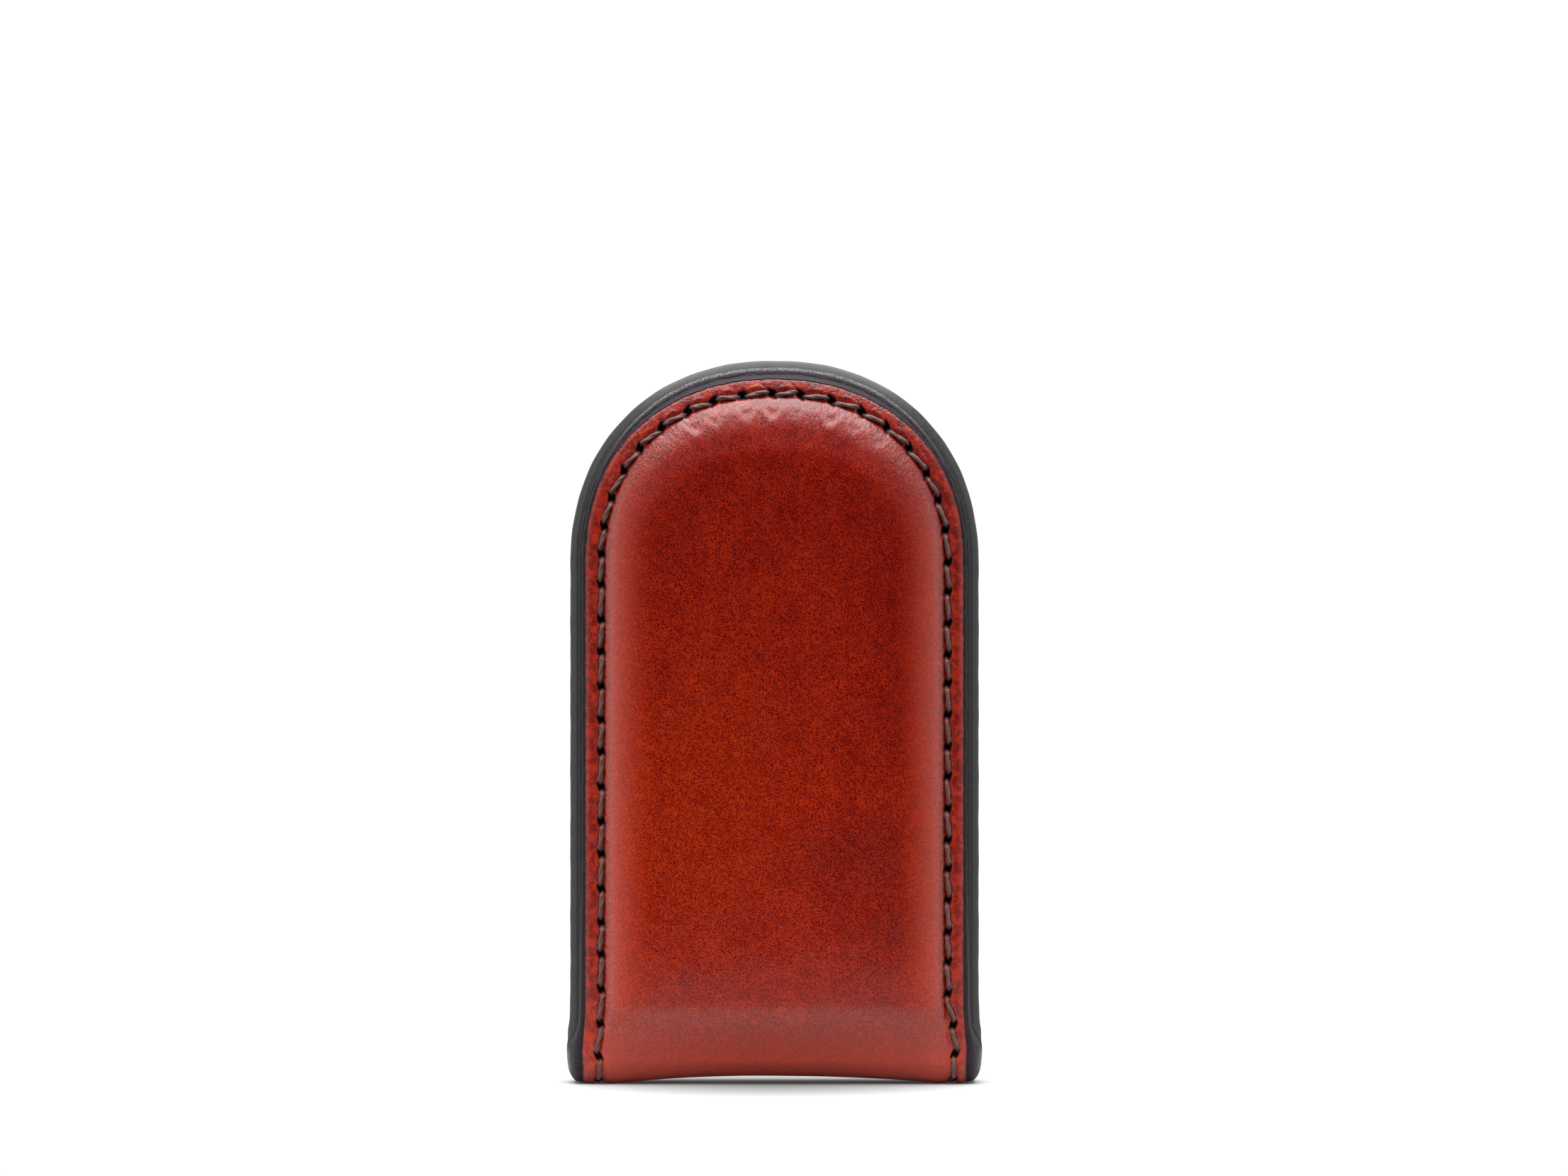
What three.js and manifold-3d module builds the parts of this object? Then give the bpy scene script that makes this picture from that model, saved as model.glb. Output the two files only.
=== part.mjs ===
// A magnetic money clip: a lined leather strap folded in half, with a round-topped leaf on either side of
// the fold. Each leaf holds two flat magnets, a filler board and a foam pad under a raised pillow.
//
// Millimetres. +X is to the right, the front leaf faces -Y and +Z is up. The origin is under the middle
// of the fold, on which the clip stands. A depth is a distance from the plane between the two leaves.

import * as THREE from 'three';
import { mergeVertices } from 'three/addons/utils/BufferGeometryUtils.js';
import Module from 'manifold-3d';

// Layers of the strap, from the gap between the leaves outwards
const LEAF_GAP = 0.7;
const LINING = 0.9;
const GLUE = 0.05;
const LEATHER = 1.2;
const PILLOW_RISE = 1.6;
const INNER = LEAF_GAP / 2;
const LINING_BACK = INNER + LINING;
const LEATHER_BACK = LINING_BACK + GLUE;
const OUTER = LEATHER_BACK + LEATHER;

// Outline of a leaf: straight sides under a squared-off half circle
const ARCH_POWER = 2.2;
const ARCH_Z = 48.3;
const ARCH_STEPS = 24;
const CORNER_STEPS = 3;
const HINGE_Z = 5;
const SLIT = 0.1;
const LEAF_BOTTOM = HINGE_Z + SLIT / 2;
const FOLD_TOP = HINGE_Z - SLIT / 2;
const SHARP = 0.1;

// The back leaf is cut larger than the front one all round, and its edge paint is thicker
const FRONT_LEAF = { name: 'front', side: -1, grow: 0, bead: 0.45 };
const BACK_LEAF = { name: 'back', side: 1, grow: 0.4, bead: 1.05 };
const EDGE = { halfWidth: 17.7, height: 17.8 };
const SEAM = { halfWidth: 16.1, height: 16 };
const BEAD_STEPS = 6;

// The fold: a half round, pressed flat under its crown, with a raised middle and flared edges
const CROWN_FLAT = 0.25;
const CROWN_ANGLE = Math.asin(1 - CROWN_FLAT / OUTER);
const FOLD_Z = OUTER - CROWN_FLAT;
const TURN_STEPS = 4;
const MIDDLE_RISE = 0.8;
const FOOT_X = 15.2;
const MIDDLE_STEPS = 8;
const FLARE = 1;
const FLARE_CLEARANCE = 0.12;

// Seam
const THREAD_RADIUS = 0.2;
const THREAD_SIDES = 6;
const THREAD_DEPTH = THREAD_RADIUS + 0.02;
const GROOVE_RADIUS = THREAD_RADIUS + 0.07;
const GROOVE_STEPS = 4;
const GROOVE_OVERCUT = 0.5;

// What a leaf holds
const CORE_CLEARANCE = 0.05;
const BOARD = 1;
const PAD = 0.4;
const MAGNET = { width: 20, height: 10, corner: 0.5 };
const MAGNET_HEIGHTS = { lower: 22, upper: 44 };
const MAGNET_CLEARANCE = 0.1;

const MATERIALS = {
  leather: { color: 0x7d2014, roughness: 0.38, metalness: 0 },
  lining: { color: 0x3a2019, roughness: 0.7, metalness: 0 },
  paint: { color: 0x1b1a1c, roughness: 0.35, metalness: 0 },
  thread: { color: 0x4d2b29, roughness: 0.55, metalness: 0 },
  board: { color: 0x8a6a48, roughness: 0.9, metalness: 0 },
  foam: { color: 0xd8d4c8, roughness: 0.95, metalness: 0 },
  magnet: { color: 0xb9bcc0, roughness: 0.25, metalness: 1 },
};

const wasm = await Module();
wasm.setup();
const clip = new THREE.Group();

function addPiece(name, geometry, material) {
  const mesh = new THREE.Mesh(geometry, new THREE.MeshStandardMaterial(MATERIALS[material]));
  mesh.name = name;
  clip.add(mesh);
}

function countTo(n) {
  return Array.from({ length: n }, (_, i) => i);
}

// Geometry helpers

// A closed body from points and triangles that all turn the same way, with its faces pointing out
function closedBody(points, triangles) {
  const edge = new THREE.Vector3();
  let volume = 0;
  for (const [a, b, c] of triangles) {
    volume += points[a].dot(edge.crossVectors(points[b], points[c]));
  }
  const turned = volume > 0 ? triangles : triangles.map(([a, b, c]) => [a, c, b]);
  const geometry = new THREE.BufferGeometry();
  const places = points.flatMap((p) => p.toArray());
  geometry.setAttribute('position', new THREE.Float32BufferAttribute(places, 3));
  geometry.setIndex(turned.flat());
  return geometry;
}

// The triangles that fill an outline, turning the way the outline does
function fill(outline) {
  const way = Math.sign(THREE.ShapeUtils.area(outline));
  return THREE.ShapeUtils.triangulateShape(outline, []).map(([a, b, c]) => {
    const turns = Math.sign(THREE.ShapeUtils.area([outline[a], outline[b], outline[c]]));
    return turns === way ? [a, b, c] : [a, c, b];
  });
}

// A skin over rings with the same number of points each, closed at both ends by the outline's triangles
function loft(rings, outline) {
  const count = outline.length;
  const triangles = [];
  for (const r of countTo(rings.length - 1)) {
    for (const i of countTo(count)) {
      const here = r * count + i;
      const beside = r * count + (i + 1) % count;
      triangles.push([here, beside, beside + count]);
      triangles.push([here, beside + count, here + count]);
    }
  }
  const last = (rings.length - 1) * count;
  for (const [a, b, c] of fill(outline)) {
    triangles.push([a, c, b]);
    triangles.push([last + a, last + b, last + c]);
  }
  return closedBody(rings.flat(), triangles);
}

function solidOf(geometry) {
  const bare = new THREE.BufferGeometry();
  bare.setAttribute('position', geometry.getAttribute('position'));
  bare.setIndex(geometry.getIndex());
  const merged = mergeVertices(bare);
  return new wasm.Manifold(new wasm.Mesh({
    numProp: 3,
    vertProperties: new Float32Array(merged.getAttribute('position').array),
    triVerts: new Uint32Array(merged.getIndex().array),
  }));
}

function cutFrom(geometry, tool) {
  const mesh = solidOf(geometry).subtract(solidOf(tool)).getMesh();
  const cut = new THREE.BufferGeometry();
  cut.setAttribute('position', new THREE.BufferAttribute(mesh.vertProperties, 3));
  cut.setIndex(new THREE.BufferAttribute(mesh.triVerts, 1));
  return cut;
}

// Cross-sections, as offsets outwards from a line (x) and depths (y)

function beadSection(bead) {
  const middle = (INNER + OUTER) / 2;
  return countTo(BEAD_STEPS + 1).map((i) => {
    const angle = Math.PI * (i / BEAD_STEPS - 0.5);
    const reach = GLUE + (bead - GLUE) * Math.cos(angle);
    return new THREE.Vector2(reach, middle + (OUTER - middle) * Math.sin(angle));
  });
}

function threadSection(depth) {
  return countTo(THREAD_SIDES).map((i) => {
    const angle = 2 * Math.PI * i / THREAD_SIDES;
    const reach = THREAD_RADIUS * Math.cos(angle);
    return new THREE.Vector2(reach, depth + THREAD_RADIUS * Math.sin(angle));
  });
}

// A slot with a round bottom that leaves the strap towards open: 1 is outwards and -1 is inwards
function grooveSection(depth, open) {
  const bottom = countTo(GROOVE_STEPS + 1).map((i) => {
    const angle = Math.PI * i / GROOVE_STEPS;
    const down = open * GROOVE_RADIUS * Math.sin(angle);
    return new THREE.Vector2(GROOVE_RADIUS * Math.cos(angle), depth - down);
  });
  const mouth = [-GROOVE_RADIUS, GROOVE_RADIUS].map((x) => (
    new THREE.Vector2(x, depth + open * GROOVE_OVERCUT)
  ));
  return [...bottom, ...mouth];
}

const SEAMS = [
  { thread: 'needle_thread', depth: OUTER - THREAD_DEPTH, open: 1 },
  { thread: 'bobbin_thread', depth: INNER + THREAD_DEPTH, open: -1 },
];

// The leaves

function archPoints(halfWidth, height) {
  return countTo(ARCH_STEPS + 1).map((i) => {
    const angle = Math.PI * i / ARCH_STEPS;
    const across = Math.abs(Math.cos(angle)) ** (2 / ARCH_POWER);
    const up = Math.sin(angle) ** (2 / ARCH_POWER);
    const way = Math.sign(ARCH_STEPS / 2 - i);
    return new THREE.Vector2(way * halfWidth * across, ARCH_Z + height * (i < ARCH_STEPS ? up : 0));
  });
}

// A closed outline in X and Z: the arch from right to left, then the two bottom corners
function leafOutline({ halfWidth, height, bottom, corner }) {
  const points = archPoints(halfWidth, height);
  for (const [way, start] of [[-1, Math.PI], [1, 1.5 * Math.PI]]) {
    for (const i of countTo(CORNER_STEPS + 1)) {
      const angle = start + 0.5 * Math.PI * i / CORNER_STEPS;
      const x = way * (halfWidth - corner) + corner * Math.cos(angle);
      points.push(new THREE.Vector2(x, bottom + corner + corner * Math.sin(angle)));
    }
  }
  return points;
}

// A flat slab between two depths
function slab(shape, from, to, side) {
  const geometry = new THREE.ExtrudeGeometry(shape, { depth: to - from, bevelEnabled: false });
  geometry.rotateX(Math.PI / 2);
  geometry.translate(0, side < 0 ? -from : to, 0);
  return geometry;
}

function chamferedBar(width, height, corner, z) {
  const bar = new THREE.Shape();
  const right = width / 2;
  const top = z + height / 2;
  const bottom = z - height / 2;
  bar.moveTo(-right + corner, bottom);
  bar.lineTo(right - corner, bottom);
  bar.lineTo(right, bottom + corner);
  bar.lineTo(right, top - corner);
  bar.lineTo(right - corner, top);
  bar.lineTo(-right + corner, top);
  bar.lineTo(-right, top - corner);
  bar.lineTo(-right, bottom + corner);
  return bar;
}

// A section carried along a leaf's outline from the bottom right, over the arch, to the bottom left
function leafRibbon({ halfWidth, height }, bottom, section, side) {
  const arch = archPoints(halfWidth, height);
  const first = new THREE.Vector2(halfWidth, bottom);
  const last = new THREE.Vector2(-halfWidth, bottom);
  const rings = [first, ...arch, last].map((point) => {
    const rise = Math.max(point.y - ARCH_Z, 0);
    const outwards = new THREE.Vector2(
      Math.sign(point.x) * (Math.abs(point.x) / halfWidth) ** (ARCH_POWER - 1) / halfWidth,
      (rise / height) ** (ARCH_POWER - 1) / height,
    ).normalize();
    return section.map((s) => new THREE.Vector3(
      point.x + outwards.x * s.x,
      side * s.y,
      point.y + outwards.y * s.x,
    ));
  });
  return loft(rings, section);
}

function grown({ halfWidth, height }, by) {
  return { halfWidth: halfWidth + by, height: height + by };
}

// The leather from the top of the pillow, down its flank and across the seam margin to the edge, then back
// under to the roof of the pocket
function pillowLeather(edge, side) {
  const margin = { ...edge, bottom: LEAF_BOTTOM, corner: SHARP };
  const levels = [
    { halfWidth: 13.4, height: 11.4, bottom: 8.5, corner: 3, depth: OUTER + PILLOW_RISE },
    { halfWidth: 14.1, height: 12.8, bottom: 7.7, corner: 3.3, depth: OUTER + 0.8 * PILLOW_RISE },
    { halfWidth: 15.1, height: 14.6, bottom: 6.4, corner: 3.5, depth: OUTER + 0.2 * PILLOW_RISE },
    { halfWidth: 15.7, height: 15.5, bottom: 5.7, corner: 3.6, depth: OUTER },
    { ...margin, depth: OUTER },
    { ...margin, depth: LEATHER_BACK },
    { halfWidth: 14.9, height: 14.5, bottom: 6.6, corner: 3.2, depth: LEATHER_BACK },
    { halfWidth: 13, height: 11, bottom: 9, corner: 2.8, depth: LEATHER_BACK + PILLOW_RISE },
  ];
  const rings = levels.map((level) => (
    leafOutline(level).map((p) => new THREE.Vector3(p.x, side * level.depth, p.y))
  ));
  return loft(rings, leafOutline(margin));
}

function addCore(name, side) {
  const from = LEATHER_BACK + CORE_CLEARANCE;
  const to = from + BOARD;
  const board = new THREE.Shape(leafOutline({ halfWidth: 12.6, height: 10.6, bottom: 9.4, corner: 2.4 }));
  for (const [place, z] of Object.entries(MAGNET_HEIGHTS)) {
    const { width, height, corner } = MAGNET;
    const room = 2 * MAGNET_CLEARANCE;
    const bar = chamferedBar(width, height, corner, z);
    board.holes.push(new THREE.Path(chamferedBar(width + room, height + room, corner, z).getPoints()));
    addPiece(`${name}_magnet_${place}`, slab(bar, from, to, side), 'magnet');
  }
  addPiece(`${name}_filler_board`, slab(board, from, to, side), 'board');
  const pad = new THREE.Shape(leafOutline({ halfWidth: 12.8, height: 10.8, bottom: 9.2, corner: 2.6 }));
  addPiece(`${name}_foam_pad`, slab(pad, to + CORE_CLEARANCE, to + CORE_CLEARANCE + PAD, side), 'foam');
}

function addLeaf({ name, side, grow, bead }) {
  const edge = grown(EDGE, grow);
  const seam = grown(SEAM, grow);
  const outline = leafOutline({ ...edge, bottom: LEAF_BOTTOM, corner: SHARP });
  const skins = [
    { piece: 'outer_leather', material: 'leather', whole: pillowLeather(edge, side) },
    { piece: 'lining', material: 'lining', whole: slab(new THREE.Shape(outline), INNER, LINING_BACK, side) },
  ];
  for (const [i, { piece, material, whole }] of skins.entries()) {
    const { thread, depth, open } = SEAMS[i];
    const groove = leafRibbon(seam, LEAF_BOTTOM - 1, grooveSection(depth, open), side);
    addPiece(`${name}_${piece}`, cutFrom(whole, groove), material);
    addPiece(`${name}_${thread}`, leafRibbon(seam, LEAF_BOTTOM, threadSection(depth), side), 'thread');
  }
  addPiece(`${name}_edge_paint`, leafRibbon(edge, LEAF_BOTTOM, beadSection(bead), side), 'paint');
  addCore(name, side);
}

// The fold

// Angles round the fold from its front leg to its back leg, with the straight leg above each end
function foldStations(legTop) {
  const quarter = countTo(TURN_STEPS + 1).map((i) => CROWN_ANGLE * i / TURN_STEPS);
  const angles = [...quarter, Math.PI / 2, ...quarter.map((angle) => Math.PI - angle).reverse()];
  const turns = angles.map((angle) => ({ angle, leg: 0 }));
  const leg = legTop - FOLD_Z;
  return [{ angle: 0, leg }, ...turns, { angle: Math.PI, leg }];
}

// How far from the middle the layer at a depth ends; the inner side of the bend flares the most
function foldHalfWidth(base, angle, depth) {
  const grow = BACK_LEAF.grow * angle / Math.PI;
  return base + grow + FLARE * Math.sin(angle) * (OUTER - depth) / (OUTER - INNER);
}

function foldPoint(x, depth, { angle, leg }) {
  const flatten = Math.max(0, OUTER * Math.sin(angle) - FOLD_Z);
  const middle = MIDDLE_RISE * Math.max(0, 1 - (x / FOOT_X) ** 2);
  const bend = Math.sin(angle);
  const z = FOLD_Z - depth * bend + flatten + middle * bend + leg;
  return new THREE.Vector3(x, -depth * Math.cos(angle), z);
}

// A layer of the strap between two depths, carried round the fold from its front leg to its back leg
function foldLayer(from, to) {
  const base = EDGE.halfWidth - FLARE_CLEARANCE;
  const foot = FOOT_X / (base + BACK_LEAF.grow / 2);
  const shares = [-1, ...countTo(MIDDLE_STEPS + 1).map((i) => foot * (2 * i / MIDDLE_STEPS - 1)), 1];
  const section = [
    ...shares.map((share) => new THREE.Vector2(share, to)),
    ...shares.toReversed().map((share) => new THREE.Vector2(share, from)),
  ];
  const rings = foldStations(FOLD_TOP).map((station) => section.map((s) => (
    foldPoint(s.x * foldHalfWidth(base, station.angle, s.y), s.y, station)
  )));
  return loft(rings, section);
}

// A section for each station carried round the fold at one of its sides
function foldRibbon(base, legTop, sectionAt, way) {
  const stations = foldStations(legTop);
  const rings = stations.map((station) => sectionAt(station).map((s) => (
    foldPoint(way * (base(station, s.y) + s.x), s.y, station)
  )));
  return loft(rings, sectionAt(stations[0]));
}

function foldSeam(section, legTop, way) {
  const base = ({ angle }) => foldHalfWidth(SEAM.halfWidth, angle, OUTER);
  return foldRibbon(base, legTop, () => section, way);
}

function foldBead(way) {
  const base = ({ angle }, depth) => foldHalfWidth(EDGE.halfWidth, angle, depth);
  const sectionAt = ({ angle }) => {
    const share = angle / Math.PI;
    return beadSection(FRONT_LEAF.bead + (BACK_LEAF.bead - FRONT_LEAF.bead) * share);
  };
  return foldRibbon(base, FOLD_TOP, sectionAt, way);
}

function addFold() {
  const skins = [
    { piece: 'outer_leather', material: 'leather', whole: foldLayer(LEATHER_BACK, OUTER) },
    { piece: 'lining', material: 'lining', whole: foldLayer(INNER, LINING_BACK) },
  ];
  const sides = { left: -1, right: 1 };
  for (const [i, { piece, material, whole }] of skins.entries()) {
    const { thread, depth, open } = SEAMS[i];
    let grooved = whole;
    for (const [where, way] of Object.entries(sides)) {
      grooved = cutFrom(grooved, foldSeam(grooveSection(depth, open), FOLD_TOP + 1, way));
      addPiece(`fold_${thread}_${where}`, foldSeam(threadSection(depth), FOLD_TOP, way), 'thread');
    }
    addPiece(`fold_${piece}`, grooved, material);
  }
  for (const [where, way] of Object.entries(sides)) {
    addPiece(`fold_edge_paint_${where}`, foldBead(way), 'paint');
  }
}

addLeaf(FRONT_LEAF);
addLeaf(BACK_LEAF);
addFold();

export default clip;
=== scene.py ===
"""A magnetic leather money clip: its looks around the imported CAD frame.

Lengths are in millimetres until a mesh is made, and then in metres. A depth is a distance from the plane
between the leaves. Each leaf is laid out flat in rings, one inside another, that follow a path. It starts
under the fold, climbs the right side, goes over the arch and comes down the left side. q is the distance
along that path, on the seam, and w is a ring's half width. along is the height on the flat strap.
"""

import math

import bpy
import numpy as np
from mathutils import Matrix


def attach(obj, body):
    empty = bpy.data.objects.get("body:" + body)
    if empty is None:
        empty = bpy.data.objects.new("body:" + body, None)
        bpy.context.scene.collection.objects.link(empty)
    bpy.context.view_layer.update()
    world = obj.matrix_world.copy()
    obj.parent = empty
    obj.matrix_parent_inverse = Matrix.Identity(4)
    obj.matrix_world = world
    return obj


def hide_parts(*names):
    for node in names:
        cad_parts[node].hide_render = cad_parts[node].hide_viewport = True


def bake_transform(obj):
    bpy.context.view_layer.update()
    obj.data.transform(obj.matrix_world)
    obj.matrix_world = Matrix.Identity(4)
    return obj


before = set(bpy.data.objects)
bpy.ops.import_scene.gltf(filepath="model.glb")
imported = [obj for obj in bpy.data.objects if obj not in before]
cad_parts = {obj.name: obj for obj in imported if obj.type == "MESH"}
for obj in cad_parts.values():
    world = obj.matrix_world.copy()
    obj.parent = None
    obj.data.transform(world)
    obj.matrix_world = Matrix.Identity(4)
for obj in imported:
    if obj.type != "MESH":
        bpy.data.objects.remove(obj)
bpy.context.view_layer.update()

# A millimetre in metres
MM = 0.001

# The depths of the strap's layers, and the pillow on them, as in part.mjs
INNER = 0.35
LINING_BACK = 1.25
LEATHER_BACK = 1.3
OUTER = 2.5
PILLOW_RISE = 1.6
GLUE = 0.05

# The leaf's outline, as in part.mjs: the half width and the arch height of its edge and its seam
ARCH_POWER = 2.2
ARCH_Z = 48.3
EDGE_W = 17.7
EDGE_H = 17.8
SEAM_W = 16.1
SEAM_H = 16.0
BACK_GROW = 0.4

# The fold, as in part.mjs: its axis's height, the rise of its middle, how far out its feet start, and how
# much wider it flares inside
FOLD_Z = 2.25
MIDDLE_RISE = 0.8
FOOT_X = 15.2
FLARE = 1.0

# Which way each leaf faces
LEAVES = {"front": -1, "back": 1}

# How high the arch rises on a ring of each half width
RING_WIDTHS = (0, 13.4, 14.1, 15.1, 15.7, SEAM_W, EDGE_W)
RING_HEIGHTS = (0, 11.4, 12.8, 14.6, 15.5, SEAM_H, EDGE_H)

# The sides of the strap spread a little just above the fold
WAIST = 0.016
WAIST_Z = 3.2
WAIST_SPAN = 2.4


def smooth(value, low, high):
    """0 up to low and 1 past high, with a smooth climb between them"""
    share = np.clip((np.asarray(value, float) - low) / (high - low), 0, 1)
    return share * share * (3 - 2 * share)


def hump(value, middle, span):
    """1 at the middle, falling smoothly to nearly 0 at twice the span from it"""
    return np.exp(-(((value - middle) / span) ** 2))


def sides_of(leaf):
    """(which way a leaf faces, how much larger than the front leaf it is cut)"""
    return LEAVES[leaf], BACK_GROW if leaf == "back" else 0.0


# The path round a leaf


class Path:
    """Points along the path. way is 1 on the right and -1 on the left, turn is the angle round the fold, lift
    is the height climbed above it and arch is the angle round the arch."""

    def __init__(self, q):
        self.q = np.asarray(q, float)
        near = np.minimum(self.q, 2 * HALF_PATH - self.q)
        self.way = np.sign(HALF_PATH - self.q)
        self.turn = np.clip(math.pi / 2 - near / OUTER, 0, math.pi / 2)
        self.lift = np.clip(near - QUARTER_TURN, 0, ARCH_Z - FOLD_Z)
        self.arch = np.interp(near - QUARTER_TURN - ARCH_Z + FOLD_Z, ARCH_LENGTHS, ARCH_ANGLES)

    def __len__(self):
        return len(self.q)


def arch_shares(angle):
    """How far across and how far up the arch an angle is, as shares of its half width and its height"""
    power = 2 / ARCH_POWER
    across = np.clip(np.cos(angle), 0, 1) ** power
    up = np.clip(np.sin(angle), 0, 1) ** power
    return across, up


QUARTER_TURN = OUTER * math.pi / 2
ARCH_ANGLES = np.linspace(0, math.pi / 2, 4001)
_across, _up = arch_shares(ARCH_ANGLES)
_steps = np.hypot(np.diff(_across * SEAM_W), np.diff(_up * SEAM_H))
ARCH_LENGTHS = np.concatenate([[0], np.cumsum(_steps)])
HALF_PATH = QUARTER_TURN + ARCH_Z - FOLD_Z + ARCH_LENGTHS[-1]


def even_path(step):
    """The whole path, in steps of about this length"""
    half = math.ceil(HALF_PATH / step)
    return Path(np.linspace(0, 2 * HALF_PATH, 2 * half + 1))


def edge_x(leaf, turn, depth):
    """The half width of the strap's cut edge round the fold, which flares towards the inside"""
    share = turn / math.pi if leaf == "front" else 1 - turn / math.pi
    return EDGE_W + BACK_GROW * share + FLARE * np.sin(turn) * (OUTER - depth) / (OUTER - INNER)


def around(leaf, x, height, turn, depth):
    """Carries points of the flat strap round the fold. Returns them as an array of x, y, z."""
    side, grow = sides_of(leaf)
    x = x * edge_x(leaf, turn, depth) / (EDGE_W + grow)
    pressed_flat = np.maximum(0, OUTER * np.sin(turn) - FOLD_Z)
    middle = MIDDLE_RISE * np.maximum(0, 1 - (x / FOOT_X) ** 2) * np.sin(turn)
    z = FOLD_Z + height - depth * np.sin(turn) + pressed_flat + middle
    x = x * (1 + WAIST * hump(z, WAIST_Z, WAIST_SPAN))
    y = side * depth * np.cos(turn)
    return np.stack(np.broadcast_arrays(x, y, z), axis=-1)


def ring_size(leaf, w):
    """The half width and the arch height of a ring, with the back leaf's margin cut larger"""
    h = np.interp(w, RING_WIDTHS, RING_HEIGHTS)
    more = sides_of(leaf)[1] * smooth(w, 15.7, SEAM_W)
    return w + more, h + more


def flat_place(leaf, w, path, reach=0.0):
    """(x, height above the fold) on a ring, moved outwards across the ring by reach"""
    width, height = ring_size(leaf, w)
    across, up = arch_shares(path.arch)
    nx = across ** (ARCH_POWER - 1) / width
    nz = up ** (ARCH_POWER - 1) / height
    size = np.hypot(nx, nz)
    x = path.way * (width * across + reach * nx / size)
    return x, path.lift + height * up + reach * nz / size


def place(leaf, w, depth, path, reach=0.0):
    """Points of a ring at a depth, moved outwards across the ring by reach"""
    x, height = flat_place(leaf, w, path, reach)
    return around(leaf, x, height, path.turn, depth)


def strap_place(leaf, x, height, turn):
    """Where a point lies on the flat strap, in millimetres, counted on past the fold for the back leaf"""
    along = FOLD_Z + height - OUTER * turn
    if leaf == "back":
        along = 2 * (FOLD_Z - QUARTER_TURN) - along
    return np.stack(np.broadcast_arrays(x, along, 0.0), axis=-1)


# Stitches

# Where the stitches change length, from the fold up each side, and how many lie between those places. They
# are longer on the left than on the right.
RIGHT_MARKS = (1.6, 4.5, 47.5)
TOP_MARK = 0.28
LEFT_MARKS = (48.2, 4.3, 1.5)
STITCH_COUNTS = (1, 15, 10, 10, 14, 1)


def stitch_holes():
    """Distances along the path of the needle holes, which are a little uneven"""
    marks = [*RIGHT_MARKS, HALF_PATH + TOP_MARK, *(2 * HALF_PATH - near for near in LEFT_MARKS)]
    holes = []
    for low, high, count in zip(marks, marks[1:], STITCH_COUNTS):
        holes += list(np.linspace(low, high, count + 1)[:-1])
    holes = np.array([*holes, marks[-1]])
    order = np.arange(len(holes))
    return holes + 0.09 * np.sin(2.1 * order) + 0.05 * np.sin(5.3 * order + 1)


HOLES = stitch_holes()

# Half a needle hole's length and width, how much of a stitch's lean it has, and its depth
HOLE_LENGTH = 0.4
HOLE_WIDTH = 0.29
HOLE_SLANT = 0.7
HOLE_DEPTH = 0.9


def slant_at(q):
    """How far out a stitch starts from the seam's line. Stitches lean the other way on the left."""
    near = np.minimum(q, 2 * HALF_PATH - q)
    lean = 0.13 + 0.09 * hump(near, 6, 4) + 0.09 * smooth(near, 48, 58) + 0.03 * np.sin(1.3 * q)
    return lean * (1 - 2 * smooth(q, HALF_PATH + 1, HALF_PATH + 5))


def seam_shift(q):
    """How far out the seam wanders low down on the right"""
    return 0.42 * smooth(q, 9.6, 7.6) * smooth(q, -1.0, 4.0)


def nearest_hole(q):
    return np.abs(q[:, None] - HOLES[None, :]).argmin(axis=1)


def hole_distance(q):
    """The signed distance to the nearest hole"""
    return q - HOLES[nearest_hole(q)]


def pits(path, out):
    """How much of a needle hole is at a distance out from the seam's line, from 0 to 1"""
    away = hole_distance(path.q)
    middle = slant_at(path.q) * np.clip(away / HOLE_LENGTH, -1, 1) * HOLE_SLANT + seam_shift(path.q)
    length = np.abs(away) / HOLE_LENGTH
    width = np.abs(out - middle) / HOLE_WIDTH
    return np.exp(-(length**4)) * np.exp(-(width**4))


# Shapes of the outer leather

# The pillow: the half width of its foot, the width of its flank, and how soon that rounds over
PILLOW_FOOT = 16.0
PILLOW_FLANK = 5.3
PILLOW_ROUNDING = 3.2

# Where the pillow rises out of the fold, and its dome: how much higher its middle is, and its half width
PILLOW_LOW = -0.2
PILLOW_HIGH = 7.7
PILLOW_DOME = 0.05
DOME_WIDTH = 13.4

# Half the width of the groove that the stitches lie in
GROOVE_WIDTH = 0.36


def pillow_share(w):
    """The pillow's height at a ring: steep at its foot, then rounding over to flat"""
    inside = np.clip((PILLOW_FOOT - w) / PILLOW_FLANK, 0, 1)
    return (1 - (1 - inside) ** PILLOW_ROUNDING) * smooth(w, PILLOW_FOOT, PILLOW_FOOT - 0.3)


def edge_roll(inside, path):
    """How far the leather's face drops at a distance in from its edge: further and wider over the arch"""
    on_arch = smooth(path.arch, 0.3, 1.2)
    return 0.22 * (1 - smooth(inside, -0.05, 0.75)) ** 1.6 + 0.42 * on_arch * (1 - smooth(inside, -0.6, 1.7))


def under_fold(path):
    """1 under the fold, where the clip stands on it, and 0 above it"""
    return smooth(path.turn, 0.4, 1.1)


def seam_groove(path):
    """The depth of the groove that the stitches lie in, which takes all of them in under the fold"""
    return 0.1 + 0.36 * under_fold(path)


def waves(x, along):
    """The slow unevenness of a hand-made face"""
    slow = np.sin(0.31 * x + 0.12 * along + 0.7) * np.sin(0.17 * along + 1.9)
    quick = np.sin(0.62 * x - 0.45 * along + 2.2) * np.sin(0.71 * along + 0.3 * x)
    return 0.03 * slow + 0.012 * quick


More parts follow.
